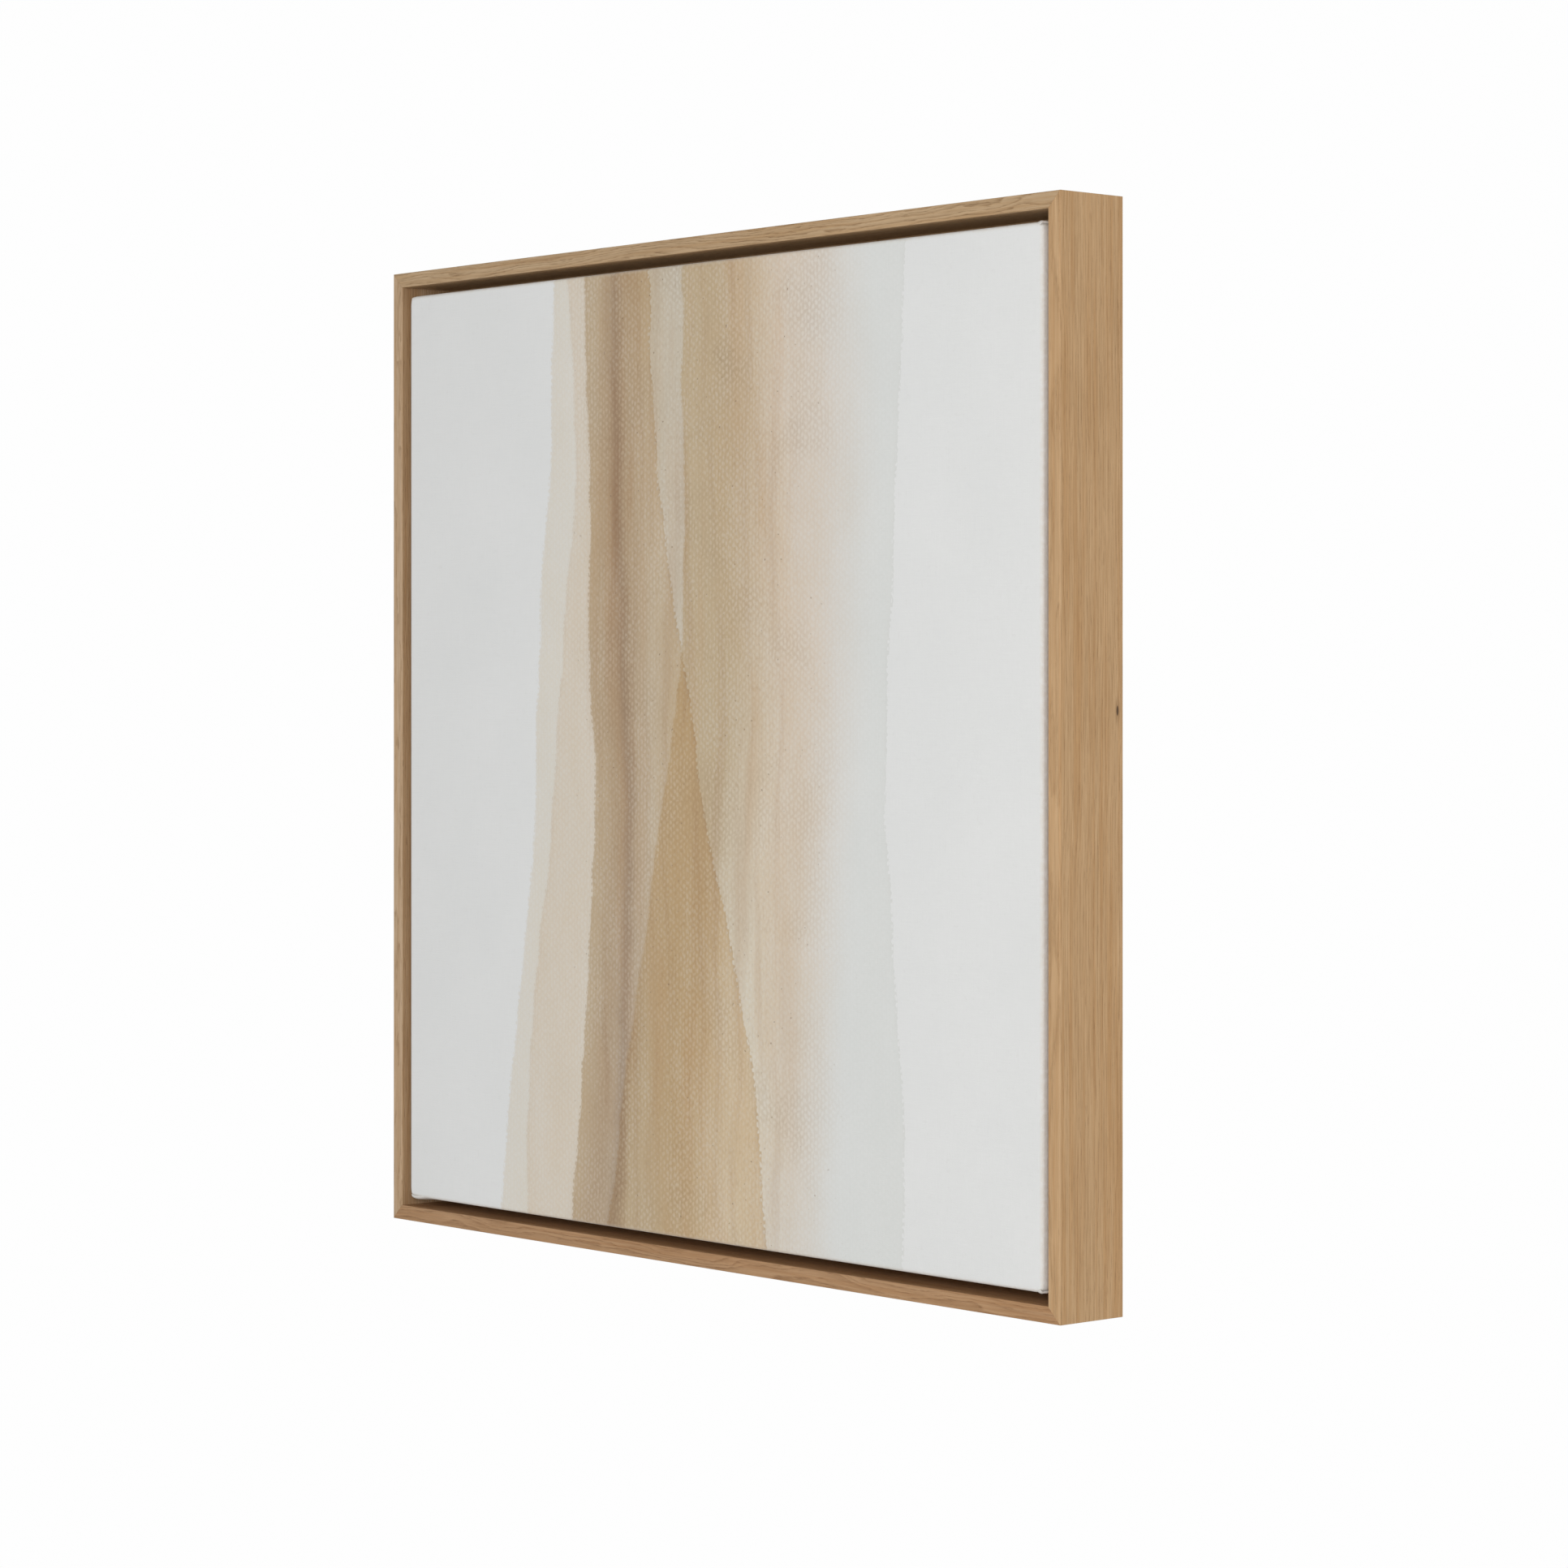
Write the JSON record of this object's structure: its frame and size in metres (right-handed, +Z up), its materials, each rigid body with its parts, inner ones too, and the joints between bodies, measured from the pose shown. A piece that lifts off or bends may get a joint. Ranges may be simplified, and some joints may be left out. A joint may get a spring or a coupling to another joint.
{
  "type": "floating frame",
  "caption": "Square floating frame: mitred L-section oak moulding round a stretched canvas on keyed stretcher bars, with an even shadow gap and D-ring strap hangers behind.",
  "frame": {"origin": "the centre of the back plane of the oak frame, which faces the wall", "axes": "+Z up as hung, +X to the right seen from the front, -Y out of the picture towards the viewer"},
  "size_m": [0.632, 0.0555, 0.632],
  "materials": {
    "oak": "planed oak, clear matt oil",
    "canvas": "primed cotton duck with thin matt washes",
    "pine": "planed bare pine",
    "key_wood": "sawn beech",
    "zinc": "yellow zinc plate",
    "nickel": "nickel plate",
    "steel": "bright galvanised steel"
  },
  "bodies": {
    "frame": {"rail_bottom": "oak", "rail_right": "oak", "rail_top": "oak", "rail_left": "oak", "corner_v_nails": "steel", "canvas": "canvas", "stretcher_bar_bottom": "pine", "stretcher_bar_right": "pine", "stretcher_bar_top": "pine", "stretcher_bar_left": "pine", "canvas_staples": "steel", "canvas_mounting_screws": "zinc", "hanger_strap_left": "nickel", "hanger_strap_right": "nickel", "hanger_screws": "nickel"},
    "tension_key_top_left_side": {"tension_key_top_left_side": "key_wood"},
    "tension_key_top_left_cross": {"tension_key_top_left_cross": "key_wood"},
    "tension_key_top_right_side": {"tension_key_top_right_side": "key_wood"},
    "tension_key_top_right_cross": {"tension_key_top_right_cross": "key_wood"},
    "tension_key_bottom_left_side": {"tension_key_bottom_left_side": "key_wood"},
    "tension_key_bottom_left_cross": {"tension_key_bottom_left_cross": "key_wood"},
    "tension_key_bottom_right_side": {"tension_key_bottom_right_side": "key_wood"},
    "tension_key_bottom_right_cross": {"tension_key_bottom_right_cross": "key_wood"},
    "hanger_ring_left": {"hanger_ring_left": "nickel"},
    "hanger_ring_right": {"hanger_ring_right": "nickel"}
  },
  "joints": [
    {"name": "hanger_ring_left_swing", "type": "hinge", "parent": "frame", "child": "hanger_ring_left", "pos_m": [-0.29825, 0.00275, 0.2], "axis": [-1, 0, 0], "range_deg": [0, 175]},
    {"name": "hanger_ring_right_swing", "type": "hinge", "parent": "frame", "child": "hanger_ring_right", "pos_m": [0.29825, 0.00275, 0.2], "axis": [-1, 0, 0], "range_deg": [0, 175]},
    {"name": "tension_key_top_left_side_draw", "type": "slide", "parent": "frame", "child": "tension_key_top_left_side", "axis": [1, 0, 0], "range_m": [0, 0.018]},
    {"name": "tension_key_top_left_cross_draw", "type": "slide", "parent": "frame", "child": "tension_key_top_left_cross", "axis": [0, 0, -1], "range_m": [0, 0.018]},
    {"name": "tension_key_top_right_side_draw", "type": "slide", "parent": "frame", "child": "tension_key_top_right_side", "axis": [-1, 0, 0], "range_m": [0, 0.018]},
    {"name": "tension_key_top_right_cross_draw", "type": "slide", "parent": "frame", "child": "tension_key_top_right_cross", "axis": [0, 0, -1], "range_m": [0, 0.018]},
    {"name": "tension_key_bottom_left_side_draw", "type": "slide", "parent": "frame", "child": "tension_key_bottom_left_side", "axis": [1, 0, 0], "range_m": [0, 0.018]},
    {"name": "tension_key_bottom_left_cross_draw", "type": "slide", "parent": "frame", "child": "tension_key_bottom_left_cross", "axis": [0, 0, 1], "range_m": [0, 0.018]},
    {"name": "tension_key_bottom_right_side_draw", "type": "slide", "parent": "frame", "child": "tension_key_bottom_right_side", "axis": [-1, 0, 0], "range_m": [0, 0.018]},
    {"name": "tension_key_bottom_right_cross_draw", "type": "slide", "parent": "frame", "child": "tension_key_bottom_right_cross", "axis": [0, 0, 1], "range_m": [0, 0.018]}
  ]
}
